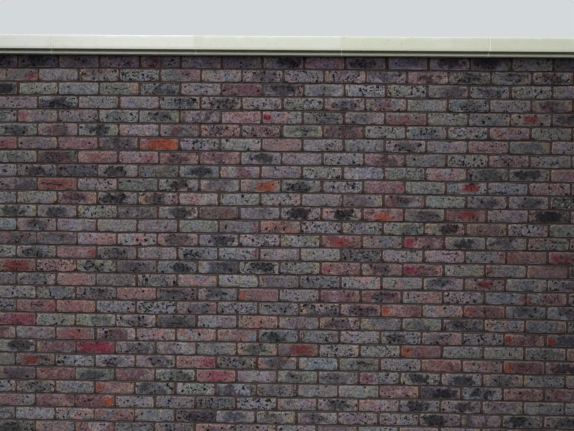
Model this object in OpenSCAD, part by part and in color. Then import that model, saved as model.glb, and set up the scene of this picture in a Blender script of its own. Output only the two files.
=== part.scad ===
// Brick garden wall: stretcher-bond courses on both faces, tooled bed joints and a weathered coping.
// X runs along the wall, the front face looks towards -Y, and Z = 0 is the ground under the first course.

/* [Bricks] */
// Length of a brick
brick_l = 215; // [190:1:240]
// Width of a brick, front to back
brick_w = 102.5; // [90:0.5:120]
// Height of a brick
brick_h = 65; // [50:1:80]
// Thickness of the mortar joints
joint = 10; // [6:0.5:14]

/* [Wall] */
// Number of courses from the ground to the damp-proof course
courses = 32; // [4:1:40]
// Number of bays, each under one coping stone
bays = 6; // [2:1:8]
// Bricks in the length of one bay
bricks_per_bay = 3.5; // [2.5:0.5:5.5]
// Half-brick thicknesses from front to back
leaves = 3; // [1:1:4]

/* [Bed joints] */
// How far the edge of a joint lies behind the face of the bricks
joint_setback = 1; // [0.5:0.5:3]
// Depth of the hollow that the round jointing bar leaves
tooled_depth = 2.5; // [1:0.5:4]

/* [Damp-proof course] */
// Thickness of the mortar under the damp-proof course
dpc_bed_t = 4; // [3:0.5:8]
// Thickness of the damp-proof course
dpc_t = 2; // [1:0.5:4]
// How far its edge stands out from the bricks
dpc_lip = 4; // [1:0.5:10]

/* [Coping] */
// How far the coping stands out past the bricks on every side
overhang = 61; // [45:1:80]
// Height of the coping's upright edge
fascia_h = 75; // [50:1:100]
// Height of the channel that runs round under that edge
channel_h = 10; // [8:1:16]
// How far the channel goes in from the edge
channel_d = 29; // [22:1:32]
// Height of the drip lip under the channel
lip_h = 13; // [10:1:18]
// How far the lip's face lies behind the edge
lip_setback = 17; // [6:1:20]
// Clear space between the back of the lip and the bricks
lip_clear = 12; // [6:1:16]
// How much higher the ridge is than the top of the edge
weathering = 25; // [5:1:50]
// Radius of the rounded ridge
ridge_r = 30; // [5:1:60]
// Radius of the arris between the edge and the top
arris_r = 5; // [2:0.5:10]
// Radius of the small arris along the bottom of the edge
lower_arris_r = 2; // [1:0.5:4]
// Thickness of the mortar under the coping
coping_bed_t = 5; // [3:0.5:8]
// How far that mortar lies behind the face of the bricks
coping_bed_setback = 2; // [0:0.5:10]
// Gap between two coping stones
coping_gap = 6; // [4:0.5:10]
// Shift of those gaps along the wall, from the ends of the bays
coping_shift = -24; // [-60:1:60]
// How far the mortar in that gap lies behind the faces of the stones
coping_joint_setback = 1; // [0.5:0.5:3]

/* [Hidden] */
course_pitch = brick_h + joint;
wall_l = bays * bricks_per_bay * (brick_l + joint) - joint;
wall_w = leaves * (brick_w + joint) - joint;
brickwork_h = courses * course_pitch - joint;
dpc_z = brickwork_h + dpc_bed_t;
coping_bed_z = dpc_z + dpc_t;
coping_z = coping_bed_z + coping_bed_t;
fascia_z = coping_z + channel_h;
bay_l = bricks_per_bay * (brick_l + joint);
coping_l = wall_l + 2 * overhang;
coping_w = wall_w + 2 * overhang;
arc_steps = 6;
brick_colour = "#5b5256";
mortar_colour = "#4a4340";
pale_mortar_colour = "#cfccbb";
stone_colour = "#d8d8ca";
sheet_colour = "#1c1b1d";

// Two digits, so that the courses sort in building order.
function course_name(i) = str("course_", i < 10 ? "0" : "", i);
function stone_name(i) = str("coping_stone_", i);

// A block over the wall's plan, standing on height z, grown all round by edge.
module wall_block(z, h, edge) {
    translate([-wall_l / 2 - edge, -wall_w / 2 - edge, z])
        cube([wall_l + 2 * edge, wall_w + 2 * edge, h]);
}

// One row of bricks, counted from 1 at the ground.
module course(i) {
    color(brick_colour)
        wall_block((i - 1) * course_pitch, brick_h, 0);
}

// A mortar bed whose four edges are hollowed by a round jointing bar.
module tooled_bed(z, h) {
    bar_r = (pow(h / 2, 2) + pow(tooled_depth, 2)) / (2 * tooled_depth);
    bar_out = bar_r - tooled_depth - joint_setback;
    difference() {
        wall_block(z, h, -joint_setback);
        for (side = [-1, 1]) {
            translate([0, side * (wall_w / 2 + bar_out), z + h / 2])
                rotate([0, 90, 0])
                    cylinder(h = wall_l + 4 * bar_r, r = bar_r, center = true, $fn = 48);
            translate([side * (wall_l / 2 + bar_out), 0, z + h / 2])
                rotate([90, 0, 0])
                    cylinder(h = wall_w + 4 * bar_r, r = bar_r, center = true, $fn = 48);
        }
    }
}

// Every bed between two courses, and the one under the damp-proof course.
module bed_joints() {
    color(mortar_colour) {
        for (i = [1:courses - 1])
            tooled_bed(i * course_pitch - joint, joint);
        tooled_bed(brickwork_h, dpc_bed_t);
    }
}

// The sheet that keeps rain in the coping out of the bricks. Its edge stands out on all four sides.
module damp_proof_course() {
    color(sheet_colour)
        wall_block(dpc_z, dpc_t, dpc_lip);
}

module coping_bed() {
    color(pale_mortar_colour)
        wall_block(coping_bed_z, coping_bed_t, -coping_bed_setback);
}

// Points of an arc about [x, z], from angle a to angle b.
function arc(x, z, r, a, b) = [
    for (k = [0:arc_steps])
        let (t = a + (b - a) * k / arc_steps)
        [x + r * cos(t), z + r * sin(t)]
];

// Half of the section of the coping's upper part, right of the middle, from the ridge down to the
// bottom of the upright edge. The ridge and the top arris are rounded off between straight faces.
function half_section(w, trim) =
    let (
        edge = w / 2 - trim,
        slope = atan(weathering / (w / 2)),
        ridge_z = fascia_h + weathering - trim - ridge_r / cos(slope),
        arris_z = fascia_h - trim - arris_r * tan((90 - slope) / 2)
    )
    concat(
        arc(0, ridge_z, ridge_r, 90, 90 - slope),
        arc(edge - arris_r, arris_z, arris_r, 90 - slope, 0),
        arc(edge - lower_arris_r, trim + lower_arris_r, lower_arris_r, 0, -90)
    );

// The upper part's whole section: an upright edge on each side, and a top that falls both ways from
// the ridge. trim draws it in on every side, for the mortar between two stones.
module coping_section(trim) {
    right = half_section(coping_w, trim);
    left = [for (k = [len(right) - 1:-1:1]) [-right[k][0], right[k][1]]];
    polygon(concat(right, left));
}

// Where stone i starts and ends along the wall. The outer stones run on past the brickwork.
function gap_x(i) = (i - bays / 2) * bay_l + coping_shift;
function stone_from(i) = i == 1 ? -coping_l / 2 : gap_x(i - 1) + coping_gap / 2;
function stone_to(i) = i == bays ? coping_l / 2 : gap_x(i) - coping_gap / 2;

// The part under the upright edges of the whole coping: a neck, set back to form the channel, and a
// lip below it on all four sides that hangs past the bed and drips clear of the bricks.
module neck_and_lip(trim) {
    wall_block(coping_z + trim, channel_h, overhang - channel_d - trim);
    difference() {
        wall_block(coping_z - lip_h + trim, lip_h, overhang - lip_setback - trim);
        wall_block(coping_z - 2 * lip_h, 3 * lip_h, lip_clear + trim);
    }
}

// What lies between two places along the wall.
module between(from, to) {
    intersection() {
        children();
        translate([from, -coping_w, 0])
            cube([to - from, 2 * coping_w, coping_z + 2 * fascia_h]);
    }
}

module upper_part(from, to, trim) {
    translate([from, 0, fascia_z])
        rotate([90, 0, 90])
            linear_extrude(height = to - from)
                coping_section(trim);
}

// One coping stone, bedded over bay i.
module coping_stone(i) {
    color(stone_colour)
        union() {
            upper_part(stone_from(i), stone_to(i), 0);
            between(stone_from(i), stone_to(i)) neck_and_lip(0);
        }
}

// The mortar between each two stones, a little behind their faces. Over the wall it runs down to the
// bed.
module coping_joints() {
    color(pale_mortar_colour)
        for (i = [1:bays - 1])
            union() {
                upper_part(stone_to(i), stone_from(i + 1), coping_joint_setback);
                between(stone_to(i), stone_from(i + 1)) {
                    neck_and_lip(coping_joint_setback);
                    wall_block(coping_z, channel_h, -coping_bed_setback);
                }
            }
}

for (i = [1:courses])
    course(i);
bed_joints();
damp_proof_course();
coping_bed();
for (i = [1:bays])
    coping_stone(i);
coping_joints();
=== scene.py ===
"""Looks of a brick garden wall: separate irregular facing bricks laid in stretcher bond, tooled
mortar joints, and a coping of cast stones bedded in pale mortar. Everything is in metres. X runs
along the wall, the front face looks towards -Y, and Z is up from the ground."""

import math

import bpy
import numpy as np
from mathutils import Matrix, Vector


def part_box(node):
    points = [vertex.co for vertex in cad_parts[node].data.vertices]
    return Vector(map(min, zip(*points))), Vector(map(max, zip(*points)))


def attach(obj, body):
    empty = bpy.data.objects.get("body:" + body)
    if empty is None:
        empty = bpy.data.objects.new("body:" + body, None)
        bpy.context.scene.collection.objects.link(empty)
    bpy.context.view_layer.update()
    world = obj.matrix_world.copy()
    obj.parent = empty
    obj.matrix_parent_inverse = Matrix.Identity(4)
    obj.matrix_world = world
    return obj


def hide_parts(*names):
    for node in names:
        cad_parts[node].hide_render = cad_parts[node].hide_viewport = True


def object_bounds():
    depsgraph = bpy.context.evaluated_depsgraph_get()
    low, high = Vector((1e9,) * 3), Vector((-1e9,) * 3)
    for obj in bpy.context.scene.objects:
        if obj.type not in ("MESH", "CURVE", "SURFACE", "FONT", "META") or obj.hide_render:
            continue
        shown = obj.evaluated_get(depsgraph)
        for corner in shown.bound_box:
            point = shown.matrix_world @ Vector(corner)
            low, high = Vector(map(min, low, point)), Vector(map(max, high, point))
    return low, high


bl_info = {
    "name": "Brick Garden Wall",
    "version": (1, 0, 0),
    "blender": (4, 5, 0),
    "location": "View3D > Sidebar > Garden Wall",
    "description": "Builds the bricks, joints and coping of a garden wall around its packed model",
    "category": "Add Mesh",
}

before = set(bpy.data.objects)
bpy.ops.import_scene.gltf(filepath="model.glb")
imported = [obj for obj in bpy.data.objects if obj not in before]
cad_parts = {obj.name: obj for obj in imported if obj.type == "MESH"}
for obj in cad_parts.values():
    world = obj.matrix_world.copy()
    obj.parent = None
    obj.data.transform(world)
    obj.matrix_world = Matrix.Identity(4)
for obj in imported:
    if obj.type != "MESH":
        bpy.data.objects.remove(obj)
CAD_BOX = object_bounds()
COURSES = sorted(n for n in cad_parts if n.startswith("course_"))
STONES = sorted(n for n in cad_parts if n.startswith("coping_stone_"))
WALL_LOW, WALL_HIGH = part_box(COURSES[0])
WALL_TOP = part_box(COURSES[-1])[1].z

SIDES = ("front", "right", "back", "left")
# Kinds of mesh attributes, by how many numbers they hold
ATTRIBUTES = {1: ("FLOAT", "value"), 3: ("FLOAT_VECTOR", "vector"), 4: ("FLOAT_COLOR", "color")}
FILM_WIDTH = 36.0
FLOOR_REACH = 60.0
FLOOR_GAP = 0.0005
FLOOR_BOUNCE = (0.08, 0.08, 0.078)
REFLECTANCE = 0.12
# Sizes of the lumps, grains and pits in a brick's clay
CLOUD, WANDER, CHAR, TORN, GRAIN, SALT, PITS = 0.07, 0.026, 0.015, 0.013, 0.009, 0.0105, 0.024
# How the light's fall-off is painted: where it starts and where it is full, along the wall
RIGHT_FADE = (-0.1, 1.5)
LEFT_FADE = (-1.1, -2.0)
# Waves that make up an unevenness: a direction, and how much faster the wave goes
WAVES = (
    (0.8, 0.3, 0.5, 1.0),
    (-0.4, 0.7, 0.6, 1.3),
    (0.3, -0.5, 0.8, 0.8),
    (0.6, 0.6, -0.5, 1.7),
    (-0.7, 0.2, 0.7, 1.1),
)
# How long the bumps are: on a brick's faces, edges and corners, on the beds and upright joints, and
# on a stone's faces and in its nicks
SWELL, NIBBLE, CORNERS = (0.09, 0.033), (0.026, 0.07), 0.2
BED_BUMPS, JOINT_BUMPS, STONE_BUMPS, NICK_BUMPS = (0.05, 0.017), 0.03, (0.11, 0.03), 0.045
# Waves in the courses: turns a metre along and up the wall, start, and share of the whole
SETTLING = ((2.1, 1.3, 0.0, 0.5), (4.7, -2.9, 1.0, 0.3), (9.1, 7.0, 0.0, 0.2))
SETTLED_MOST = 0.0024
SETTLED_FROM = 0.3
# The upright joints' drift for each metre down, and how it fades out over the ends
DRIFT = 0.0085
DRIFT_END = 2.36
DRIFT_EASE = 1.3
# How a brick is twisted, tipped and tilted, and how blunt its corners are
TWIST, TIP, TILT, BLUNT = 9, 14, 0.004, 0.013
# The joints: how far they reach behind the bricks, and how deep and how rough they are
JOINT_TUCK, JOINT_LIP, JOINT_DEPTH, JOINT_ROUGH, BED_ROUGH = 0.0025, 0.0004, 0.02, 0.0006, 0.0007
JOINT_STEPS = 3
# How much taller an upright joint is than its course
JOINT_REACH = 0.006
# How far the end of a stone is drawn in, by the distance from its end
STONE_ENDS = {0.0: 0.0024, 0.0009: 0.0008, 0.003: 0.0}
# The stones: how deep a nick goes, how high a bump makes one and how near an arris it lies, how
# rough the faces are, and the mesh cells of neck and lip
NICK, NICK_FROM, NICK_REACH = 0.006, 0.75, 0.012
FACE_ROUGH, TOP_ROUGH, BAR_CELL = 0.0004, 0.0005, 0.03
# The stones yellow from the left one to the right
YELLOWED_FROM, YELLOWED_OVER = 0.6, 2.6


def linear(code):
    """The scene-linear colour of a hex code such as "d8d8ca"."""
    parts = [int(code[k : k + 2], 16) / 255 for k in (0, 2, 4)]
    return tuple(c / 12.92 if c <= 0.04045 else ((c + 0.055) / 1.055) ** 2.4 for c in parts)


# Sizes and colours that a user would change


def length(name, default, description):
    return bpy.props.FloatProperty(
        name=name, default=default, min=0.0, description=description, unit="LENGTH", precision=4
    )


def colour(name, code, description):
    return bpy.props.FloatVectorProperty(
        name=name, default=linear(code), size=3, min=0, max=1, subtype="COLOR", description=description
    )


def number(name, default, description, unit="NONE"):
    return bpy.props.FloatProperty(name=name, default=default, description=description, unit=unit)


def angle(name, degrees, description):
    value = math.radians(degrees)
    return bpy.props.FloatProperty(name=name, default=value, subtype="ANGLE", description=description)


class WallBrickSettings(bpy.types.PropertyGroup):
    """The bricks: their size, how unevenly they are laid, and their colours."""

    brick_length: length("Brick length", 0.215, "Length of a stretcher")
    brick_width: length("Brick width", 0.1025, "Width of a brick, and the length of a half bat's face")
    joint: length("Joint", 0.010, "Thickness of the mortar joints")
    arris: length("Arris", 0.0032, "Radius that the brick's edges are worn to")
    plump: length("Plump", 0.0006, "How much fuller a brick is on each side than its nominal size")
    relief: length("Face relief", 0.0009, "How far the face swells and dips")
    ragged: length("Ragged edge", 0.0038, "How far the edges wander")
    misfit: length("Misfit", 0.002, "How far a brick is laid out of line")
    cell: length("Mesh cell", 0.0115, "Width of the mesh cells on a brick's face")
    seed: bpy.props.IntProperty(name="Seed", default=7, description="Another number lays other bricks")
    ash: colour("Ash grey", "605d60", "Body colour of the commonest bricks")
    green: colour("Greenish grey", "60605b", "Body colour of bricks fired with a green cast")
    blue: colour("Bluish grey", "5b5c61", "Body colour of bricks fired with a blue cast")
    mauve: colour("Mauve", "61575d", "Body colour of mauve bricks")
    pink: colour("Pink brown", "695355", "Body colour of pinkish bricks")
    plum: colour("Plum", "5c4448", "Body colour of dusky red bricks")
    dark: colour("Overburnt", "3e3a41", "Body colour of the darkest bricks")
    buff: colour("Buff", "7d6a60", "Paler patches, mostly at the ends of a brick")
    straw: colour("Straw", "776c5a", "Yellow patches")
    salt: colour("Salt", "9c9b8e", "Pale grains in the face")
    scorch: colour("Scorch", "1c161f", "Smudges where bricks touched in the kiln")
    # The fleck colour is also painted shade in the pits and creases
    fleck_and_pit_shade: colour("Fleck", "08070a", "Flecks, pits and creases")
    orange: colour("Orange", "763a2d", "Orange accent bricks and patches")
    red: colour("Red", "622b2b", "Red accent bricks")
    crimson: colour("Crimson", "66293a", "Crimson accent bricks")
    salmon: colour("Salmon", "795753", "Salmon accent bricks")


class WallMortarSettings(bpy.types.PropertyGroup):
    """The joints between the bricks."""

    setback: length("Setback", 0.0012, "From the brick's face to the edge of the joint")
    hollow: length("Hollow", 0.0038, "From the brick's face to the deepest line of the joint")
    cell: length("Mesh cell", 0.030, "Length of the mesh cells along a joint")
    mortar: colour("Mortar", "443d3d", "Grey-brown mortar")
    stain: colour("Mortar stain", "45312e", "Reddish stain on the upright joints")
    soot: colour("Mortar soot", "201d20", "Dirt that collects in the joints")


class WallCopingSettings(bpy.types.PropertyGroup):
    """The coping stones and what they lie on."""

    overhang: length("Overhang", 0.061, "How far the coping stands out past the bricks")
    channel_height: length("Channel height", 0.010, "Height of the channel under the upright edge")
    channel_depth: length("Channel depth", 0.029, "How far the channel goes in")
    lip_height: length("Lip height", 0.013, "Height of the drip lip")
    lip_setback: length("Lip setback", 0.017, "From the upright edge back to the lip's face")
    lip_clear: length("Lip clearance", 0.012, "From the back of the lip to the bricks")
    fascia: length("Upright edge", 0.075, "Height of the upright edge")
    ridge_radius: length("Ridge radius", 0.030, "Radius of the rounded ridge")
    arris: length("Top arris", 0.005, "Radius between the edge and the top")
    lower_arris: length("Lower arris", 0.002, "Radius along the bottom of the edge")
    cell: length("Mesh cell", 0.016, "Length of the mesh cells along a stone")
    stone: colour("Stone", "d8d9d4", "Cream cast stone")
    lime: colour("Lime bloom", "dcddd9", "Pale bloom on the stone")
    sunned: colour("Yellowed stone", "c2c5ae", "Where the stone has yellowed")
    weathered: colour("Weathered stone", "b0ae9c", "Where rain and dirt have turned the stone")
    # The same colour is also painted shade under the stone and in its channel
    algae_and_shade: colour("Algae", "777560", "Thin growth on the top and in the channel")
    bedding: colour("Pale mortar", "dad7c6", "Mortar under and between the stones")
    sheet: colour("Damp-proof sheet", "17161a", "Bituminous sheet under the coping")


class WallStageSettings(bpy.types.PropertyGroup):
    """The floor, the light and the camera."""

    floor: colour("Floor", "b2b1ae", "Pale studio floor")
    backdrop: colour("Backdrop", "d3d8da", "Pale background")
    sky: number("Sky", 1.04, "Strength of the soft light all round")
    key: number("Key", 2.65, "Strength of the soft light from the front")
    key_height: angle("Key height", 56.5, "How high the key stands over the horizon")
    key_aside: angle("Key aside", 8, "How far the key stands to the left of the wall's middle")
    key_width: angle("Key width", 14, "How wide the key is, seen from the wall")
    distance: length("Distance", 3.290, "From the camera to the face of the wall")
    eye: length("Eye height", 1.584, "Height of the camera")
    aside: number("Aside", -0.2464, "Place of the camera along the wall", "LENGTH")
    lens: number("Lens", 37.63, "Focal length in millimetres", "CAMERA")
    turn: angle("Turn", 1.08, "How far the camera is turned to the left of square on")
    tilt: angle("Tilt", -1.055, "How far it looks up, below 0 for down")
    lean: angle("Lean", -0.68, "How far it leans to its right, below 0 for left")


def looks():
    scene = bpy.context.scene
    return scene.wall_bricks, scene.wall_mortar, scene.wall_coping, scene.wall_stage


# Shader maths


def reckoner(operation, reflected=False):
    """A method that adds a Math node for this operation."""

    def method(self, other=0.0):
        values = (other, self) if reflected else (self, other)
        return self.finish.wire("ShaderNodeMath", {"operation": operation}, dict(enumerate(values)))

    return method


class Wire:
    """A value in a material's node tree. Reckoning with it adds Math nodes."""

    def __init__(self, finish, socket):
        self.finish, self.socket = finish, socket

    __add__ = __radd__ = reckoner("ADD")
    __sub__, __rsub__ = reckoner("SUBTRACT"), reckoner("SUBTRACT", reflected=True)
    __mul__ = __rmul__ = reckoner("MULTIPLY")
    __truediv__ = reckoner("DIVIDE")
    __abs__ = reckoner("ABSOLUTE")
    __lt__, __gt__ = reckoner("LESS_THAN"), reckoner("GREATER_THAN")
    least, most = reckoner("MINIMUM"), reckoner("MAXIMUM")

    def rise(self, low, high):
        """0 below low and 1 above high, with a soft step between. low may be the larger, for a fall."""
        if isinstance(low, (int, float)) and isinstance(high, (int, float)) and low > high:
            return 1 - self.rise(high, low)
        settings = {"interpolation_type": "SMOOTHSTEP"}
        inputs = {"Value": self, "From Min": low, "From Max": high, "To Min": 0.0, "To Max": 1.0}
        return self.finish.wire("ShaderNodeMapRange", settings, inputs)


class Finish:
    """The node tree of a material or of the world."""

    def __init__(self, owner):
        owner.use_nodes = True
        self.owner, self.tree = owner, owner.node_tree

    def node(self, kind, settings=None, inputs=None):
        """Adds a node: its settings first, then the values or links of its sockets."""
        made = self.tree.nodes.new(kind)
        for name, value in (settings or {}).items():
            setattr(made, name, value)
        for name, value in (inputs or {}).items():
            self.feed(made.inputs[name], value)
        return made

    def feed(self, socket, value):
        if isinstance(value, Wire):
            self.tree.links.new(value.socket, socket)
        elif socket.type == "RGBA":
            socket.default_value = (*value[:3], 1.0)
        else:
            socket.default_value = value

    def wire(self, kind, settings=None, inputs=None, output=0):
        return Wire(self, self.node(kind, settings, inputs).outputs[output])

    def attribute(self, name, output="Fac"):
        return self.wire("ShaderNodeAttribute", {"attribute_name": name}, output=output)

    def where(self):
        """The place on the object, in metres."""
        return self.wire("ShaderNodeTexCoord", output="Object")

    def split(self, value, kind="XYZ"):
        """The three numbers of a vector, or of a colour where kind is Color."""
        made = self.node(f"ShaderNodeSeparate{kind}", None, {0: value})
        return [Wire(self, s) for s in made.outputs]

    def join(self, x, y, z):
        return self.wire("ShaderNodeCombineXYZ", None, {"X": x, "Y": y, "Z": z})

    def vector(self, operation, *values):
        return self.wire("ShaderNodeVectorMath", {"operation": operation}, dict(enumerate(values)))

    def noise(self, where, size, detail, roughness):
        """Cloudy noise, 0 to 1, whose lumps are about this many metres across."""
        inputs = {"Vector": where, "Scale": 1 / size, "Detail": detail, "Roughness": roughness}
        return self.wire("ShaderNodeTexNoise", {"noise_dimensions": "3D"}, inputs)

    def cells(self, where, size):
        """The distance to the nearest scattered point, in cell widths, and three numbers of its own."""
        inputs = {"Vector": where, "Scale": 1 / size, "Randomness": 1.0}
        made = self.node("ShaderNodeTexVoronoi", {"voronoi_dimensions": "3D", "feature": "F1"}, inputs)
        distance, own = (Wire(self, made.outputs[name]) for name in ("Distance", "Color"))
        return distance, self.split(own, "Color")

    def mix(self, low, high, share, blend="MIX"):
        """The colour low where share is 0 and high where it is 1."""
        settings = {"data_type": "RGBA", "blend_type": blend, "clamp_factor": True}
        return self.wire("ShaderNodeMix", settings, {0: share, 6: low, 7: high}, 2)

    def shade(self, colour, amount):
        """The colour made darker or lighter all over by this factor."""
        return self.mix(colour, self.join(amount, amount, amount), 1.0, "MULTIPLY")

    def bump(self, height, depth, below=None):
        """A normal that follows height, 0 to 1, over this depth in metres."""
        inputs = {"Height": height, "Strength": 1.0, "Distance": depth}
        if below is not None:
            inputs["Normal"] = below
        return self.wire("ShaderNodeBump", None, inputs)

    def done(self, colour, roughness, normal):
        sockets = self.tree.nodes["Principled BSDF"].inputs
        self.feed(sockets["Base Color"], colour)
        self.feed(sockets["Roughness"], roughness)
        self.feed(sockets["Normal"], normal)
        self.feed(sockets["Specular IOR Level"], REFLECTANCE)
        return self.owner


def painted_falloff(f, right, left):
    """A factor of painted light fall-off, which darkens by these shares towards the right and the left
    end of the wall.
    """
    along, _, _ = f.split(f.where())
    return 1 - along.rise(*RIGHT_FADE) * right - along.rise(*LEFT_FADE) * left


def brick_finish(look):
    """Facing brick: mottled and grainy body, paler ends, kiln smudges, flecks, pits and creases.
    What differs from brick to brick comes from the mesh."""
    f = Finish(bpy.data.materials.new("facing_brick"))
    place = f.attribute("brick_place", "Vector")
    along, _, up = f.split(place)
    seed = f.attribute("brick_seed", "Vector")
    where = f.vector("MULTIPLY_ADD", seed, (9, 9, 9), place)
    arris = f.attribute("brick_arris")
    end = f.attribute("brick_end")
    flecks, smudge, pale = f.split(f.attribute("brick_marks", "Color"), "Color")
    creases = f.attribute("brick_marks", "Alpha")
    chance_a, chance_b, chance_c = f.split(seed)

    cloud = f.noise(where, CLOUD, 2, 0.5) - 0.5
    wander = f.noise(where, WANDER, 2, 0.5) - 0.5
    char = f.noise(where, CHAR, 4, 0.75) - 0.5
    torn = f.noise(f.vector("MULTIPLY", where, (0.6, 0.6, 1.0)), TORN, 3, 0.6) - 0.5
    grain = f.noise(where, GRAIN, 2, 0.7) - 0.5

    # The body, with a second tone in soft patches
    body, patch = f.attribute("brick_body", "Color"), f.attribute("brick_patch", "Color")
    tone = f.mix(body, patch, (cloud + char * 0.4).rise(-0.05, 0.11))
    warm = f.noise(f.vector("ADD", where, (3.0, 1.0, 2.0)), 0.05, 2, 0.5) - 0.5
    cool = f.noise(f.vector("ADD", where, (1.0, 4.0, 7.0)), 0.045, 2, 0.5) - 0.53
    cool = cool + end.rise(0.0, 0.08) * 0.07
    tone = f.mix(tone, f.join(1 + warm * 0.4, 1.0, 1 + cool * 0.75), 1.0, "MULTIPLY")

    # Buff or straw at the ends and in patches
    tint = f.mix(look.buff, look.straw, (wander + chance_c * 0.5).rise(0.3, 0.4))
    one_end = (along * (chance_b * 2 - 1)).rise(-0.03, -0.01)
    ends = (end + (wander + char) * 0.2 + cloud * 0.1 + abs(up) * 0.4).rise(0.05, 0.0) * one_end * pale
    blots = (wander + char * 0.9 + cloud * 0.5).rise(0.09, 0.24) * (pale * 0.5 + 0.25)
    tone = f.mix(tone, tint, ends.most(blots) * 0.7)

    # Accents: a patch of orange, red or crimson that covers all or part of the face
    spot_along, spot_up, spot_half = f.split(f.attribute("accent_place", "Vector"))
    reach = abs(along - spot_along) / spot_half
    rise = abs(up - spot_up) / (spot_half * 0.5).most(0.022)
    spread = (reach.most(rise * 0.95) + wander * 1.4 + char * 0.5).rise(1.35, 0.25)
    accent = f.attribute("accent_colour", "Color")
    deep = f.mix(accent, f.shade(accent, 0.5), (wander * 0.6 + char).rise(0.0, 0.2))
    cover = f.attribute("accent_colour", "Alpha") * (1.1 + cloud * 1.4 + wander * 0.8)
    tone = f.mix(tone, deep, spread * cover)

    # Grain, a slow change of tone over the face, and painted fall-off of the light towards the ends of
    # the wall
    mottle = 1.02 + grain * 3.3 + char * 2.4 + cloud * 0.8
    tone = f.shade(tone, mottle * painted_falloff(f, right=0.55, left=0.19))

    # Pale grains, like salt
    small, (lot, reach_small, _) = f.cells(where, SALT)
    salt = (small + char * 1.2 + grain * 0.8).rise(0.4, 0.14) * (lot > 0.65)
    tone = f.mix(tone, f.mix(tint, look.salt, chance_b), salt * (flecks * 0.3 + 0.1))

    # The kiln's smudge in the middle of the face
    middle_up = up + (chance_a - 0.5) * 0.018
    middle_along = along + (chance_c - 0.5) * 0.05
    core = 1.0 - middle_along * middle_along * 190 - middle_up * middle_up * 900
    core = (core + char * 2.6 + cloud * 2.5 + wander * 3.0).rise(-0.15, 0.75) * smudge
    tone = f.shade(f.mix(tone, look.scorch, core * 0.5), 1 - core * 0.56)

    # Flecks and pits, thicker in some places than in others; the flecks are dark spots and the pits are
    # painted shade in the hollows
    crowd = (wander * 6.0 + cloud * 2.5 + 0.8).most(0.03) * flecks + core * 0.7
    size = reach_small * 0.3 + 0.32
    dots = (small + char * 1.2).rise(size, size - 0.17) * (lot < crowd * 0.3)
    large, (lot_large, reach_large, _) = f.cells(f.vector("MULTIPLY_ADD", seed, (3, 3, 3), where), PITS)
    size = reach_large * 0.2 + 0.22
    pits = (large + char * 1.6).rise(size, size - 0.14) * (lot_large < crowd * 0.72)
    marks = (torn + char * 0.5 + wander * 0.5).rise(0.22, 0.28) * crowd.least(1.0)
    dark = dots.most(pits).most(marks)
    tone = f.mix(tone, look.fleck_and_pit_shade, dark)

    # One or two long torn folds in the clay, painted dark as shade in the crease
    line = up + (chance_a - 0.5) * 0.04 + (chance_b - 0.5) * 0.25 * along + wander * 0.05
    beyond = abs(along + (chance_c - 0.5) * 0.12) - 0.01 - chance_b * 0.045
    width = (0.0026 + char * 0.025).most(0.0003)
    fold = (abs(line) / width).rise(1.5, 0.5) * beyond.rise(0.014, 0.0) * creases
    tone = f.mix(tone, look.fleck_and_pit_shade, fold * 0.9)

    # Arrises rub pale, with a painted highlight along them that is strongest at the ends and the lower
    # edge and turns to a faint painted shade at the upper edge
    rim_wear_and_highlight = (arris + wander * 0.01).rise(0.008, 0.002)
    tone = f.mix(tone, tint, rim_wear_and_highlight * 0.27)
    tone = f.shade(tone, rim_wear_and_highlight * (end.rise(0.014, 0.004) * 0.2 + 0.1 - up * 4.0) + 1.0)

    hollow = 1 - (dark * 0.7).most(fold)
    normal = f.bump(hollow, 0.002)
    normal = f.bump(char * 0.7 + grain * 0.6, 0.0012, normal)
    roughness = 0.84 + grain * 0.3 - core * 0.18
    return f.done(tone, roughness, normal)


def mortar_finish(look):
    """Tooled mortar: sandy, darker where dirt has gathered, with reddish stain here and there."""
    f = Finish(bpy.data.materials.new("joint_mortar"))
    where = f.where()
    sand = f.noise(where, 0.0022, 3, 0.7)
    cloud = f.noise(where, 0.11, 3, 0.6)
    streak = f.noise(where, 0.02, 3, 0.6)
    upright = f.attribute("upright")
    tone = f.mix(look.mortar, look.stain, (upright * 0.75 + 0.2) * cloud.rise(0.35, 0.62))
    tone = f.mix(tone, look.soot, streak.rise(0.4, 0.75) * 0.7)
    # Painted fall-off of the light towards the ends of the wall
    tone = f.shade(tone, (0.7 + sand * 0.6) * painted_falloff(f, right=0.4, left=0.13))
    normal = f.bump(streak * 0.5 + sand * 0.5, 0.0014)
    return f.done(tone, 0.86 + sand * 0.1, normal)


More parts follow.
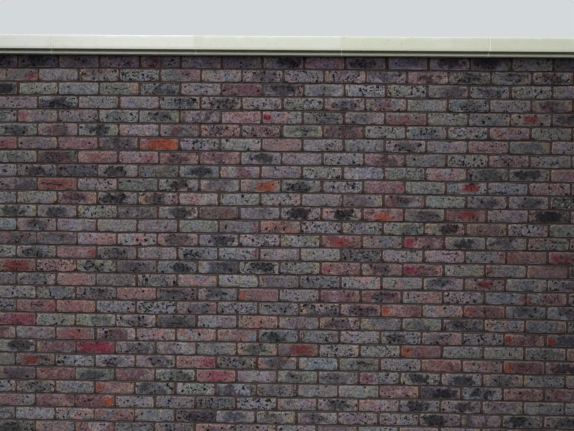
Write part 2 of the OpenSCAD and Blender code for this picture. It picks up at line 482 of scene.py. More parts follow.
def stone_finish(look):
    """Cast stone: cream and fine-grained, yellowed towards one end, washed grey and green on top."""
    f = Finish(bpy.data.materials.new("cast_stone"))
    where = f.where()
    _, _, skyward = f.split(f.wire("ShaderNodeNewGeometry", output="Normal"))
    grain = f.noise(where, 0.0022, 3, 0.7) - 0.5
    cloud = f.noise(where, 0.3, 3, 0.6) - 0.5
    patch = f.noise(f.vector("MULTIPLY", where, (1.0, 1.0, 2.2)), 0.05, 4, 0.62) - 0.5
    runs = f.noise(f.vector("MULTIPLY", where, (1.0, 1.0, 0.1)), 0.03, 3, 0.6) - 0.5
    height = f.attribute("stone_height")
    tone = f.mix(look.stone, look.lime, (cloud * 2 + patch).rise(-0.1, 0.3) * 0.6)
    tone = f.mix(tone, look.sunned, f.attribute("stone_tone") * (0.85 + cloud))
    tone = f.mix(tone, look.sunned, (height + patch * 0.02).rise(0.042, 0.026) * 0.5)
    tone = f.mix(tone, look.weathered, patch.rise(0.02, 0.25) * 0.12)
    tone = f.mix(tone, look.weathered, runs.rise(0.04, 0.25) * height.rise(0.02, 0.09) * 0.16)

    # The top is washed by rain
    top = skyward.rise(0.72, 0.97)
    tone = f.mix(tone, look.weathered, top * (0.75 + cloud * 1.2))
    growth = (cloud + patch * 1.6).rise(-0.1, 0.3) * 0.6 + 0.25
    tone = f.mix(tone, look.algae_and_shade, top * growth)
    # Painted shade: the underside and the channel are darkened with the algae colour
    under = skyward.rise(-0.3, -0.9)
    channel = height.rise(0.008, 0.014) * height.rise(0.0245, 0.0225)
    tone = f.mix(tone, look.algae_and_shade, under.most(channel) * 0.7)

    holes, (lot, _, _) = f.cells(where, 0.014)
    pin = (holes + patch * 0.2).rise(0.17, 0.08) * (lot < 0.12)
    # Painted fall-off of the light towards the ends of the wall
    tone = f.shade(tone, (1.0 + grain * 0.3 + patch * 0.1) * painted_falloff(f, right=0.15, left=0.2))
    tone = f.mix(tone, look.algae_and_shade, pin * 0.7)
    normal = f.bump(1 - pin, 0.0012)
    normal = f.bump(grain * 0.8 + patch * 0.5, 0.0007, normal)
    return f.done(tone, 0.76 + grain * 0.2, normal)


def bedding_finish(look):
    """Pale mortar, struck by hand under and between the stones."""
    f = Finish(bpy.data.materials.new("pale_mortar"))
    where = f.where()
    sand = f.noise(where, 0.002, 3, 0.7)
    smear = f.noise(where, 0.03, 3, 0.6)
    tone = f.mix(look.bedding, look.weathered, smear.rise(0.45, 0.75) * 0.5)
    tone = f.shade(tone, 0.9 + sand * 0.2)
    normal = f.bump(smear * 0.6 + sand * 0.4, 0.0012)
    return f.done(tone, 0.82 + sand * 0.12, normal)


def sheet_finish(look):
    """Matt bituminous sheet with mortar dust on its edge."""
    f = Finish(bpy.data.materials.new("dpc_sheet"))
    where = f.where()
    dust = f.noise(where, 0.012, 4, 0.65)
    tone = f.mix(look.sheet, look.weathered, dust.rise(0.62, 0.8) * 0.18)
    normal = f.bump(dust, 0.0008)
    return f.done(tone, 0.6 + dust * 0.3, normal)


# Meshes


def put(name, data):
    """A new object in the scene, with this mesh, lamp or camera."""
    made = bpy.data.objects.new(name, data)
    bpy.context.scene.collection.objects.link(made)
    return made


class Pile:
    """Gathers skins into one mesh. A skin is its points, its quads, and its caps with more corners."""

    def __init__(self):
        self.points, self.quads, self.caps, self.fields, self.count = [], [], [], {}, 0

    def add(self, shape, **fields):
        """Adds a skin. fields holds attributes by name, as one row for each point or one for all."""
        points, quads, caps = shape
        self.points.append(points)
        self.quads.append(quads + self.count)
        self.caps += [c + self.count for c in caps]
        for key, rows in fields.items():
            rows = np.broadcast_to(rows, (len(points), *np.shape(rows)[1:]))
            self.fields.setdefault(key, []).append(rows)
        self.count += len(points)

    def piece(self, name, material):
        mesh = bpy.data.meshes.new(name)
        counts = [4] * sum(len(q) for q in self.quads) + [len(c) for c in self.caps]
        corners = np.concatenate([*map(np.ravel, self.quads), *self.caps]).astype(np.int32)
        starts = np.concatenate([[0], np.cumsum(counts)[:-1]]).astype(np.int32)
        mesh.vertices.add(self.count)
        mesh.vertices.foreach_set("co", np.concatenate(self.points).ravel().astype(np.float32))
        mesh.loops.add(len(corners))
        mesh.loops.foreach_set("vertex_index", corners)
        mesh.polygons.add(len(counts))
        mesh.polygons.foreach_set("loop_start", starts)
        mesh.polygons.foreach_set("use_smooth", np.ones(len(counts), bool))
        for key, rows in self.fields.items():
            rows = np.concatenate(rows)
            kind, field = ATTRIBUTES[rows[0].size]
            made = mesh.attributes.new(key, kind, "POINT")
            made.data.foreach_set(field, rows.ravel().astype(np.float32))
        mesh.materials.append(material)
        mesh.update(calc_edges=True)
        mesh.validate()
        return put(name, mesh)


def ripple(points, length, phase):
    """A smooth unevenness, about -1 to 1, whose bumps are about this long. phase shifts it."""
    turns = 2 * math.pi / length
    total = 0.0
    for k, (x, y, z, faster) in enumerate(WAVES):
        wave = points[..., 0] * x + points[..., 1] * y + points[..., 2] * z
        total = total + np.sin(wave * turns * faster + phase * (1.7 + k * 2.3) + k)
    return total / 2.6


def uneven(points, first, second, phase, shift, share=0.6):
    """Two ripples together: this share of the first length, and the rest of the second, shifted."""
    rest = 1 - share
    return ripple(points, first, phase) * share + ripple(points, second, phase + shift) * rest


def settle(points):
    """Moves points with the courses' rise and dip along the wall, and none into the ground."""
    x, z = points[..., 0], points[..., 2]
    wave = sum(np.sin(x * a + z * b + start) * share for a, b, start, share in SETTLING)
    points[..., 2] = np.maximum(z + wave * SETTLED_MOST * np.clip(z / SETTLED_FROM, 0, 1), WALL_LOW.z)


def drift(x, z):
    """How far the upright joints wander to the left towards the foot of the wall, plumb at its ends."""
    middle = np.clip((DRIFT_END - np.abs(x)) / DRIFT_EASE, 0, 1)
    return -DRIFT * (WALL_TOP - z) * middle * middle * (3 - 2 * middle)


def skin(n, m, closed=False):
    """Quads and caps between m rings of n points each."""
    k, j = np.meshgrid(np.arange(n), np.arange(m if closed else m - 1))
    low, high, turn = j * n, ((j + 1) % m) * n, (k + 1) % n
    quads = np.stack([low + k, low + turn, high + turn, high + k], -1).reshape(-1, 4)
    return quads, [] if closed else [np.arange(n)[::-1], np.arange(n) + (m - 1) * n]


def turned(shape):
    """The same skin with its faces turned the other way."""
    points, quads, caps = shape
    return points, quads[:, ::-1], [c[::-1] for c in caps]


def loft(rings, closed=False):
    """Points, quads and caps of a skin over rings with the same number of points each."""
    m, n = rings.shape[:2]
    return rings.reshape(-1, 3), *skin(n, m, closed)


def span(half, arris, cell, seen):
    """Places along one side of a brick, from -half to half, as (whole, inner) shares: whole for the
    corners, and inner for the lines between the two arrises."""
    if not seen:
        return [(-1, 0), (1, 0)]
    steps = max(2, round(2 * (half - arris) / cell))
    return [(-1, 0)] + [(0, -1 + 2 * k / steps) for k in range(steps + 1)] + [(1, 0)]


def brick_template(half, seen, arris, cell):
    """The points of one kind of brick, as shares of its size, and its faces. seen has the sides that
    show, and only these get a fine mesh."""
    runs = [span(half[k % 2], arris, cell, side in seen)[:-1] for k, side in enumerate(SIDES)]
    loop = [(p, (-1, 0)) for p in runs[0]] + [((1, 0), p) for p in runs[1]]
    loop += [((-a, -b), (1, 0)) for a, b in runs[2]] + [((-1, 0), (-a, -b)) for a, b in runs[3]]
    levels = span(half[2], arris, cell, True)
    shares = np.array([[(*x, *y, *z) for x, y in loop] for z in levels], float).reshape(-1, 6)
    return shares, *skin(len(loop), len(levels))


def rounded(shares, half, arris):
    """Points of a brick with worn edges, from a template's shares, and which of them lie on an edge."""
    inner = half - arris
    points = shares[..., 0::2] * half[:, None] + shares[..., 1::2] * inner[:, None]
    core = np.clip(points, -inner[:, None], inner[:, None])
    out = points - core
    size = np.linalg.norm(out, axis=-1, keepdims=True)
    edge = (np.abs(out) > 1e-6).sum(-1) > 1
    return core + out / np.maximum(size, 1e-9) * arris, edge


# Laying out the bricks


class Brick:
    """One brick: its middle, its half sizes, the sides that show, and its place in its course."""

    def __init__(self, course, number, low, high, seen):
        self.course, self.number, self.seen = course, number, frozenset(seen)
        self.middle = [(a + b) / 2 for a, b in zip(low, high)]
        self.half = [(b - a) / 2 for a, b in zip(low, high)]


def lay_course(course, look):
    """The bricks of a course that show, front and back in stretcher bond. Odd courses start with a
    whole brick and even ones with a half, where a brick laid across the wall turns the corner."""
    low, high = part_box(f"course_{course:02d}")
    whole, bat, joint = look.brick_length, look.brick_width, look.joint
    pitch = whole + joint
    leaf = {"front": (low.y, low.y + bat), "back": (high.y - bat, high.y)}
    made = []

    def brick(number, x, length, y0, y1, seen):
        made.append(Brick(course, number, (x, y0, low.z), (x + length, y1, high.z), seen))

    if course % 2:
        count = round((high.x - low.x + joint) / pitch)
        for side, (y0, y1) in leaf.items():
            for k in range(count):
                seen = [side] + ["left"] * (k == 0) + ["right"] * (k == count - 1)
                brick(k, low.x + k * pitch, whole, y0, y1, seen)
        for x, end in ((low.x, "left"), (high.x - whole, "right")):
            brick(-1, x, whole, low.y + bat + joint, high.y - bat - joint, [end])
        return made
    count = round((high.x - low.x - 2 * bat - joint) / pitch)
    for side, (y0, y1) in leaf.items():
        for k in range(count):
            brick(k + 1, low.x + bat + joint + k * pitch, whole, y0, y1, [side])
    for end, x in (("left", low.x), ("right", high.x - bat)):
        long_side = "front" if (course // 2 + (end == "left")) % 2 else "back"
        for side, (y0, y1) in leaf.items():
            if side == long_side:
                y0, y1 = (y0, y0 + whole) if side == "front" else (y1 - whole, y1)
            brick(0 if end == "left" else count + 1, x, bat, y0, y1, [side, end])
    return made


# Bricks on the front with a patch of colour: course, brick from the left, middle along the brick,
# half length of the patch and height of its middle in millimetres, and its strength in hundredths
PATCHES = {
    "orange": (
        (26, 6, 10, 125, -4, 95), (23, 8, 30, 55, -2, 90), (21, 11, 0, 45, -16, 90),
        (15, 8, -92, 22, -4, 75), (14, 12, -90, 26, 0, 85), (14, 14, -88, 30, 0, 50),
        (11, 12, -85, 24, 0, 80), (10, 15, -86, 32, -4, 70), (8, 5, -88, 26, 2, 75),
        (7, 4, 80, 35, -2, 85),
    ),
    "red": (
        (28, 15, 5, 45, 4, 95), (25, 4, 0, 50, 0, 50), (23, 3, 0, 100, 0, 55),
        (23, 13, 20, 50, 4, 95), (21, 13, 10, 50, 12, 90), (19, 10, -10, 55, -6, 80),
        (17, 2, 0, 70, -6, 85), (16, 14, 0, 45, 0, 90), (12, 4, 0, 110, 0, 55),
        (12, 15, -90, 26, 0, 100), (12, 16, -85, 28, -4, 95), (11, 9, 25, 60, 4, 90),
        (10, 3, -25, 50, -4, 90), (10, 13, 10, 80, -2, 30), (7, 2, -30, 90, 0, 40),
    ),
    "crimson": (
        (31, 2, 80, 42, -4, 75), (31, 6, 50, 80, 6, 35), (28, 3, -88, 28, 0, 55),
        (28, 9, -85, 30, 0, 85), (26, 2, 30, 90, 0, 40), (25, 5, 50, 50, -10, 45),
        (23, 11, 95, 20, 0, 50), (20, 8, 92, 20, 0, 50), (19, 12, -85, 30, 0, 100),
        (18, 4, 95, 20, 0, 70), (18, 8, 92, 20, 0, 50), (18, 14, 95, 22, 0, 60),
        (18, 15, -90, 20, 0, 50), (18, 16, -35, 80, -6, 80), (17, 10, -85, 35, 0, 60),
        (17, 12, -70, 50, 0, 80), (17, 14, -90, 28, 0, 65), (15, 14, 96, 18, 0, 60),
        (14, 3, 95, 22, 0, 60), (13, 2, 30, 90, 0, 60), (11, 4, 0, 120, 0, 100),
        (10, 7, 70, 45, 0, 70), (9, 7, 0, 80, -4, 55), (9, 11, -70, 40, 2, 80),
    ),
    "salmon": (
        (30, 5, 90, 22, 0, 70), (26, 9, 0, 120, 0, 40), (20, 9, -10, 110, 0, 70),
        (16, 4, 0, 120, 0, 60), (14, 4, 0, 120, 0, 60), (13, 8, 0, 120, 0, 70),
    ),
}
SPECIALS = {
    (course, number): (kind, middle / 1000, half / 1000, height / 1000, strength / 100)
    for kind, rows in PATCHES.items()
    for course, number, middle, half, height, strength in rows
}
# Bricks on the front that the kiln smudged darkest
SCORCHED = {(23, 6): 1.0, (21, 2): 0.9, (21, 3): 0.9, (21, 9): 1.2, (21, 10): 1.2, (21, 15): 1.1}
# Bricks on the front whose whole body is dusky red, pink or dark, and the tone that they share
BODIES = {
    "plum": {(21, 11), (21, 13), (19, 10), (19, 12), (17, 2), (17, 12), (14, 12), (14, 14), (13, 2)}
    | {(12, 15), (11, 4), (11, 12), (10, 13), (10, 15), (9, 3), (7, 3), (7, 4)},
    "pink": {(25, 4), (25, 6), (25, 7), (23, 3), (23, 11), (18, 4), (18, 15), (17, 10), (15, 5)}
    | {(15, 8), (14, 3), (14, 4), (10, 7), (9, 7), (8, 5)},
    "dark": {(24, 4), (21, 15), (12, 16)},
}
BODY_TONE = 0.95
# Painted shade of the coping on the top course: its cast, and how dark it is painted at two places along
# the wall
TOP_CAST = (1.06, 0.97, 1.16)
TOP_FADE = (-1.2, 0.5), (0.72, 1.12)

# Body colours, how common each is, and its usual second colour
FAMILIES = (
    ("ash", 33, "mauve"),
    ("green", 16, "ash"),
    ("blue", 12, "ash"),
    ("mauve", 14, "ash"),
    ("pink", 9, "mauve"),
    ("plum", 5, "mauve"),
    ("dark", 5, "mauve"),
    ("ash", 6, "pink"),
)


def colour_bricks(bricks, look, dice):
    """Draws each brick's colours and marks. Returns the attributes, each with a row for each brick."""
    shares = np.array([w for _, w, _ in FAMILIES], float)
    speckled = {"ash": 1.1, "green": 1.3, "blue": 1.2, "dark": 1.0}
    drawn = []
    for b in bricks:
        body, _, second = FAMILIES[dice.choice(len(FAMILIES), p=shares / shares.sum())]
        second = dice.choice([second, "ash", "pink", "blue"], p=[0.6, 0.22, 0.06, 0.12])
        # About one brick in eight is much darker
        tone = 1.06 + dice.normal() * 0.1 - (dice.random() < 0.12) * 0.34
        front = "front" in b.seen
        for kind, places in BODIES.items():
            if front and (b.course, b.number) in places:
                body, second, tone = kind, "pink" if kind == "plum" else kind, BODY_TONE
        # The top course gets painted shade from the coping: a cast and a darkening that change along the
        # wall
        painted_shade = 1.0
        if b.course == len(COURSES):
            painted_shade = np.array(TOP_CAST) * np.interp(b.middle[0], *TOP_FADE)
        shift = 1 + dice.normal(size=3) * 0.025
        row = {"brick_seed": dice.random(3)}
        row["brick_body"] = [*np.array(getattr(look, body)) * tone * shift * painted_shade, 1]
        tone += dice.normal() * 0.08
        row["brick_patch"] = [*np.array(getattr(look, second)) * tone * painted_shade, 1]
        flecks = min(1.5, dice.gamma(1.4, 0.5) * speckled.get(body, 0.6))
        smudge = dice.choice([0, 0.45, 0.75, 1], p=[0.64, 0.17, 0.1, 0.09])
        pale = dice.choice([0, 0.5, 1], p=[0.35, 0.35, 0.3])
        crease = dice.choice([0, 0.7, 1], p=[0.84, 0.08, 0.08])
        special = SPECIALS.get((b.course, b.number)) if front else None
        smudge = SCORCHED.get((b.course, b.number), smudge) if front else smudge
        lot, kind, where, wide = dice.random(4)
        if special is None and lot < 0.05 and not (front and 2 <= b.number <= 16):
            kind = ("orange", "red", "crimson", "salmon")[int(kind * 4)]
            special = (kind, (where - 0.5) * 0.19, 0.025 + wide * 0.09, 0.0, 0.7)
        accent, spot = [0, 0, 0, 0], [0, 0, 0.05]
        if special:
            kind, middle, half, height, strength = special
            smudge *= 0.3
            flecks *= 0.5
            accent, spot = [*getattr(look, kind), strength], [middle, height, half]
        row |= {"brick_marks": [flecks, smudge, pale, crease]}
        drawn.append(row | {"accent_colour": accent, "accent_place": spot})
    return {key: np.array([row[key] for row in drawn], float) for key in drawn[0]}


def build_bricks(name, bricks, look, material, dice):
    """One mesh of separate closed bricks, each a little different in size, place, tilt and edges."""
    drawn = colour_bricks(bricks, look, dice)
    chance = dice.normal(size=(len(bricks), 8)).clip(-2, 2) / 2
    kinds = {}
    for k, b in enumerate(bricks):
        kinds.setdefault((b.seen, tuple(round(h, 5) for h in b.half)), []).append(k)
    pile = Pile()
    for (seen, half), members in sorted(kinds.items(), key=lambda item: item[1][0]):
        shares, *faces = brick_template(half, seen, look.arris, look.cell)
        halves = np.array([bricks[k].half for k in members])
        own = chance[members]
        halves[:, 0] += own[:, 0] * look.misfit
        halves[:, 2] += look.plump + own[:, 1] * look.misfit * 0.6
        local, edge = rounded(shares[None], halves, look.arris)
        flat = np.sort(halves[:, None] - np.abs(local), axis=-1)
        phase = drawn["brick_seed"][members][:, :1] * 40
        swell = uneven(local, *SWELL, phase, 9)
        nibble = uneven(local, *NIBBLE, phase + 4, -2)
        blunt = np.exp(-((flat[..., 2] / BLUNT) ** 2)) * (1.0 + ripple(local, CORNERS, phase + 6) * 0.6)
        draw_in = np.where(edge, look.ragged * (0.1 + 0.9 * nibble + blunt), 0) + look.relief * swell
        facing = np.abs(local) > halves[:, None] - look.arris * 0.9
        towards = np.where(facing, np.sign(local), 0) * np.where(edge[..., None], 0.7, 1)
        moved = local - draw_in[..., None] * towards
        outward = own[:, 2:3] + own[:, 3:4] * local[..., 0] * TWIST + own[:, 4:5] * local[..., 2] * TIP
        moved[..., 1] += outward * look.misfit * (1 if "back" in seen else -1)
        moved[..., 0] += own[:, 5:6] * look.misfit * 0.8 * (not seen & {"left", "right"})
        moved[..., 2] += own[:, 6:7] * local[..., 0] * TILT
        middles = np.array([bricks[k].middle for k in members])
        world = moved + middles[:, None]
        world[..., 0] += drift(middles[:, 0], middles[:, 2])[:, None]
        settle(world)
        longer = 0 if halves[0, 0] >= halves[0, 1] else 1
        fields = {
            "brick_place": local[..., [1, 0, 2]] if longer else local,
            "brick_arris": flat[..., 1],
            "brick_end": halves[:, longer, None] - np.abs(local[..., longer]),
        }
        fields |= {key: rows[members][:, None] for key, rows in drawn.items()}
        for k, points in enumerate(world):
            pile.add((points, *faces), **{key: rows[k] for key, rows in fields.items()})
    return pile.piece(name, material)


# The joints


def joint_section(look, across):
    """Section of a tooled joint: (place across the joint, depth behind the face), hollowed in front and
    closed at its back."""
    half = across / 2
    tuck = half + JOINT_TUCK
    side = [(tuck, look.setback * 0.6), (half * 0.9, look.setback + JOINT_LIP)]
    side += [(half * 0.45, look.hollow * 0.86)]
    left = [(-a, depth) for a, depth in side]
    return left + [(0.0, look.hollow), *side[::-1], (tuck, JOINT_DEPTH), (-tuck, JOINT_DEPTH)]


def round_the_wall(section, z, cell):
    """Rings of a section that runs round the wall's four faces at height z. The section's first number
    goes up and its second goes inwards from the faces."""
    low, high = WALL_LOW, WALL_HIGH
    corners = np.array([(low.x, low.y), (high.x, low.y), (high.x, high.y), (low.x, high.y)])
    inward = np.array([(1, 1), (-1, 1), (-1, -1), (1, -1)])
    up, depth = np.array(section).T
    edges = corners[:, None] + inward[:, None] * depth[:, None]
    rings = []
    for side in range(4):
        other = (side + 1) % 4
        steps = max(1, round(math.dist(corners[side], corners[other]) / cell))
        for k in range(steps):
            place = edges[side] + (edges[other] - edges[side]) * (k / steps)
            rings.append(np.column_stack([place, z + up]))
    return np.array(rings)


def unsettled(rings, phase):
    """Adds the hand's unevenness to mortar, and the courses' own rise and dip."""
    noise = uneven(rings, *BED_BUMPS, phase, 3)
    middle = rings.mean(axis=1, keepdims=True)
    inward = middle - rings
    inward[..., 2] = 0
    inward /= np.maximum(np.linalg.norm(inward, axis=-1, keepdims=True), 1e-6)
    rings = rings + inward * noise[..., None] * BED_ROUGH
    settle(rings)
    return rings


def build_beds(look, joint, material):
    """The beds between the courses and the one under the DPC sheet, each a closed ring."""
    pile = Pile()
    tops = [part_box(n)[1].z for n in COURSES]
    sheet_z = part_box("damp_proof_course")[0].z
    for k, top in enumerate(tops):
        gap = joint if k < len(tops) - 1 else sheet_z - top
        rings = round_the_wall(joint_section(look, gap), top + gap / 2, look.cell)
        rings = unsettled(rings, k * 1.3)
        if k == len(tops) - 1:
            rings[..., 2] = np.minimum(rings[..., 2], sheet_z)
        pile.add(loft(rings, closed=True), upright=0.0)
    return pile.piece("bed_mortar", material)


def build_perpends(look, bricks, joint, material):
    """The upright joints between the bricks of each course, on all four faces."""
    pile = Pile()
    section = np.array(joint_section(look, joint))
    planes = {"front": WALL_LOW.y, "back": WALL_HIGH.y, "left": WALL_LOW.x, "right": WALL_HIGH.x}
    levels = np.arange(JOINT_STEPS + 1)[:, None] / JOINT_STEPS - 0.5
    for b in bricks:
        height = 2 * b.half[2] + JOINT_REACH
        for side in sorted(b.seen):
            axis = 0 if side in ("front", "back") else 1
            end = b.middle[axis] + b.half[axis]
            limit = (WALL_HIGH.x, WALL_HIGH.y)[axis]
            if end > limit - joint:
                continue
            inward = 1 if side in ("front", "left") else -1
            place = end + joint / 2
            if axis == 0:
                place += float(drift(place, b.middle[2]))
            rings = np.zeros((JOINT_STEPS + 1, len(section), 3))
            rings[..., axis] = place + section[:, 0]
            rings[..., 1 - axis] = planes[side] + inward * section[:, 1]
            rings[..., 2] = b.middle[2] + levels * height
            noise = ripple(rings, JOINT_BUMPS, b.number * 2.1 + b.course * 5.3)
            rings[..., 1 - axis] += noise * JOINT_ROUGH
            settle(rings)
            shape = loft(rings)
            pile.add(turned(shape) if side in ("front", "right") else shape, upright=1.0)
    return pile.piece("upright_mortar", material)


# The coping


def arc(x, z, radius, start, stop, steps):
    angles = np.radians(np.linspace(start, stop, steps + 1))
    return [(x + radius * math.cos(a), z + radius * math.sin(a)) for a in angles]


def coping_outline(look, width, height):
    """Section of a stone's upper part as (across, up), clockwise from the ridge and round to it."""
    edge = width / 2
    slope = math.atan2(height - look.fascia, edge)
    tilt = math.degrees(slope)
    ridge_z = height - look.ridge_radius / math.cos(slope)
    arris_z = look.fascia - look.arris * math.tan((math.pi / 2 - slope) / 2)
    right = arc(0, ridge_z, look.ridge_radius, 90, 90 - tilt, 2)
    right += [(t * edge, height - t * (height - look.fascia)) for t in (0.25, 0.45, 0.65, 0.85)]
    right += arc(edge - look.arris, arris_z, look.arris, 90 - tilt, 0, 4)
    right += [(edge, look.fascia * t) for t in (0.75, 0.5, 0.25)]
    right += arc(edge - look.lower_arris, look.lower_arris, look.lower_arris, 0, -90, 3)
    right += [(edge - 0.03, 0.0), (edge * 0.5, 0.0)]
    left = [(-x, z) for x, z in right[:0:-1]]
    return right + left


def rounded_bar(low, high, radius, cell):
    """A closed bar with rounded edges, between two corners."""
    half = [(b - a) / 2 for a, b in zip(low, high)]
    shares, quads, caps = brick_template(half, SIDES, radius, cell)
    points, _ = rounded(shares[None], np.array([half]), radius)
    return points[0] + [(a + b) / 2 for a, b in zip(low, high)], quads, caps


def under_bars(look, low, high):
    """Corners of the bars under a stone's upper part: the neck, and the lip on each free side."""
    (out_x, in_x, neck_x), (out_y, in_y, neck_y) = (
        (edge - look.lip_setback, edge - look.overhang + look.lip_clear, edge - look.channel_depth)
        for edge in (CAD_BOX[1].x, high.y)
    )
    bed_z = low.z + look.lip_height
    top_z = bed_z + look.channel_height
    tuck = 0.002
    bars = [((max(low.x, -neck_x), -neck_y, bed_z - tuck), (min(high.x, neck_x), neck_y, top_z + tuck))]
    x0, x1 = max(low.x, -out_x), min(high.x, out_x)
    bars += [((x0, y0, low.z), (x1, y1, bed_z)) for y0, y1 in ((-out_y, -in_y), (in_y, out_y))]
    if low.x < -in_x:
        bars.append(((-out_x, -in_y - tuck, low.z), (-in_x, in_y + tuck, bed_z)))
    if high.x > in_x:
        bars.append(((in_x, -in_y - tuck, low.z), (out_x, in_y + tuck, bed_z)))
    return bars


def build_stone(name, look, material, dice, tone):
    """One coping stone, cast with slightly rounded, nicked arrises."""
    low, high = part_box(name)
    foot = low.z + look.lip_height + look.channel_height
    outline = np.array(coping_outline(look, high.y - low.y, high.z - foot))
    inner = np.linspace(low.x, high.x, round((high.x - low.x) / look.cell) + 1)[1:-1]
    xs = [low.x + t for t in STONE_ENDS] + list(inner) + [high.x - t for t in reversed(STONE_ENDS)]
    xs = np.array(xs)[:, None]
    ends = np.minimum(xs - low.x, high.x - xs)
    inset = np.interp(ends, list(STONE_ENDS), list(STONE_ENDS.values()))
    away = outline - (0.0, look.fascia * 0.5)
    away /= np.linalg.norm(away, axis=1, keepdims=True)
    rings = np.zeros((len(xs), len(outline), 3))
    rings[..., 0] = xs
    rings[..., 1:] = outline - away * inset[..., None]
    phase = dice.random() * 50
    rough = np.abs(uneven(rings, *STONE_BUMPS, phase, 5, 0.5))
    bite = np.maximum(0, ripple(rings, NICK_BUMPS, phase + 7) - NICK_FROM) * NICK
    near_edge = np.abs(outline[:, 0]) > (high.y - low.y) / 2 - NICK_REACH
    corner = (outline[:, 1] > look.fascia - NICK_REACH) & near_edge
    rings[..., 1] -= np.sign(rings[..., 1]) * (rough * FACE_ROUGH + np.where(corner[None], bite, 0))
    rings[..., 2] -= rough * TOP_ROUGH * (rings[..., 2] > 0.02)
    rings[..., 2] += foot
    bars = [rounded_bar(*corners, look.lower_arris, BAR_CELL) for corners in under_bars(look, low, high)]
    pile = Pile()
    for shape in (turned(loft(rings)), *bars):
        pile.add(shape, stone_height=shape[0][:, 2] - low.z, stone_tone=tone)
    return pile.piece(f"cast_{name}", material)


# Operators


def ride_in_slot(piece, slot, *nodes):
    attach(piece, "root")
    if nodes:
        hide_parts(*nodes)


class WallBricks(bpy.types.Operator):
    """Lay every brick that shows, two courses to a piece"""

    bl_idname = "mesh.wall_bricks"
    bl_label = "Lay the Bricks"

    def execute(self, context):
        look = looks()[0]
        material = brick_finish(look)
        dice = np.random.default_rng(look.seed)
        for k in range(0, len(COURSES), 2):
            pair = COURSES[k : k + 2]
            numbers = [int(n[-2:]) for n in pair]
            bricks = [b for n in numbers for b in lay_course(n, look)]
            name = "bricks_" + "_".join(f"{n:02d}" for n in numbers)
            ride_in_slot(build_bricks(name, bricks, look, material, dice), "facing_brick", *pair)
        return {"FINISHED"}


class WallJoints(bpy.types.Operator):
    """Point the beds and the upright joints"""

    bl_idname = "mesh.wall_joints"
    bl_label = "Point the Joints"

    def execute(self, context):
        bricks_look, look, _, _ = looks()
        material = mortar_finish(look)
        ride_in_slot(build_beds(look, bricks_look.joint, material), "joint_mortar", "bed_joints")
        bricks = [b for n in range(1, len(COURSES) + 1) for b in lay_course(n, bricks_look)]
        ride_in_slot(build_perpends(look, bricks, bricks_look.joint, material), "joint_mortar")
        return {"FINISHED"}


class WallCoping(bpy.types.Operator):
    """Cast the coping stones, bed them and finish the DPC sheet"""

    bl_idname = "mesh.wall_coping"
    bl_label = "Lay the Coping"

    def execute(self, context):
        look = looks()[2]
        dice = np.random.default_rng(looks()[0].seed + 1)
        stone, pale = stone_finish(look), bedding_finish(look)
        for k, name in enumerate(STONES):
            tone = min(1.0, max(0.0, (k - YELLOWED_FROM) / YELLOWED_OVER))
            ride_in_slot(build_stone(name, look, stone, dice, tone), "cast_stone", name)
        kept = {"coping_bed": pale, "coping_joints": pale, "damp_proof_course": sheet_finish(look)}
        for name, material in kept.items():
            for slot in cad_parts[name].material_slots:
                slot.material = material
        return {"FINISHED"}


class WallStage(bpy.types.Operator):
    """Set the floor, the backdrop, the light and the camera"""

    bl_idname = "scene.wall_stage"
    bl_label = "Set the Stage"

    def execute(self, context):
        look = looks()[3]
        make_floor(look)
        make_light(look)
        make_camera(look)
        context.scene.view_settings.view_transform = "Standard"
        return {"FINISHED"}


def pale_to_the_camera(f, seen, bounced):
    """A colour that the camera, and what mirrors it, sees pale, while less light bounces from it."""
    path = f.node("ShaderNodeLightPath")
    eye = Wire(f, path.outputs["Is Camera Ray"]).most(Wire(f, path.outputs["Is Glossy Ray"]))
    return f.mix(bounced, seen, eye)


def make_floor(look):
    f = Finish(bpy.data.materials.new("studio_floor"))
    where = f.where()
    cloud = f.noise(where, 0.8, 3, 0.5)
    pale = f.shade(look.floor, 0.97 + cloud * 0.06)
    f.done(pale_to_the_camera(f, pale, FLOOR_BOUNCE), 0.9, f.bump(cloud, 0.0005))
    bpy.ops.mesh.primitive_plane_add(size=FLOOR_REACH, location=(0, 0, CAD_BOX[0].z - FLOOR_GAP))
    floor = bpy.context.object
    floor.name = "studio_floor"
    floor.data.materials.append(f.owner)


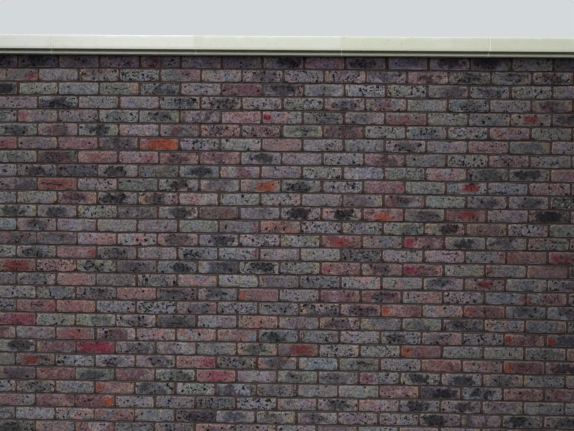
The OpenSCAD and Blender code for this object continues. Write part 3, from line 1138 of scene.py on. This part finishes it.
def make_light(look):
    """A soft overcast sky, brighter overhead, and a wide soft key from the front left."""
    world = bpy.data.worlds.new("studio")
    bpy.context.scene.world = world
    f = Finish(world)
    _, _, height = f.split(f.wire("ShaderNodeTexCoord", output="Generated"))
    lift = (0.92 + height * 0.16) * look.sky
    dome = f.join(lift * 0.985, lift, lift * 1.02)
    f.feed(f.tree.nodes["Background"].inputs["Color"], pale_to_the_camera(f, look.backdrop, dome))
    key = bpy.data.lights.new("key", "SUN")
    key.energy = look.key
    key.angle = look.key_width
    lamp = put("key", key)
    turn = Matrix.Rotation(-look.key_aside, 3, "Z")
    tip = Matrix.Rotation(math.pi / 2 - look.key_height, 3, "X")
    lamp.rotation_euler = (turn @ tip).to_euler()


def make_camera(look):
    """The view of the photograph: almost square on, looking slightly down."""
    data = bpy.data.cameras.new("camera")
    data.lens, data.sensor_width = look.lens, FILM_WIDTH
    camera = put("camera", data)
    aim = Matrix.Rotation(look.turn, 4, "Z") @ Matrix.Rotation(look.tilt, 4, "X")
    aim = aim @ Matrix.Rotation(look.lean, 4, "Y") @ Matrix.Rotation(math.pi / 2, 4, "X")
    place = Vector((look.aside, WALL_LOW.y - look.distance, look.eye))
    camera.matrix_world = Matrix.Translation(place) @ aim
    bpy.context.scene.camera = camera


class WallPanel(bpy.types.Panel):
    """Lists the steps in order"""

    bl_idname = "VIEW3D_PT_garden_wall"
    bl_label = "Garden Wall"
    bl_space_type = "VIEW_3D"
    bl_region_type = "UI"
    bl_category = "Garden Wall"

    def draw(self, context):
        for step in STEPS:
            self.layout.operator(step.bl_idname)
        for group in looks():
            for name in group.bl_rna.properties.keys():
                if name not in ("rna_type", "name"):
                    self.layout.prop(group, name)


STEPS = (WallBricks, WallJoints, WallCoping, WallStage)
GROUPS = {
    "wall_bricks": WallBrickSettings,
    "wall_mortar": WallMortarSettings,
    "wall_coping": WallCopingSettings,
    "wall_stage": WallStageSettings,
}


def register():
    for item in (*GROUPS.values(), *STEPS, WallPanel):
        bpy.utils.register_class(item)
    for name, group in GROUPS.items():
        setattr(bpy.types.Scene, name, bpy.props.PointerProperty(type=group))


def unregister():
    for name in GROUPS:
        delattr(bpy.types.Scene, name)
    for item in reversed((*GROUPS.values(), *STEPS, WallPanel)):
        bpy.utils.unregister_class(item)


def main():
    register()
    bpy.ops.mesh.wall_bricks()
    bpy.ops.mesh.wall_joints()
    bpy.ops.mesh.wall_coping()
    bpy.ops.scene.wall_stage()


if __name__ == "__main__":
    main()
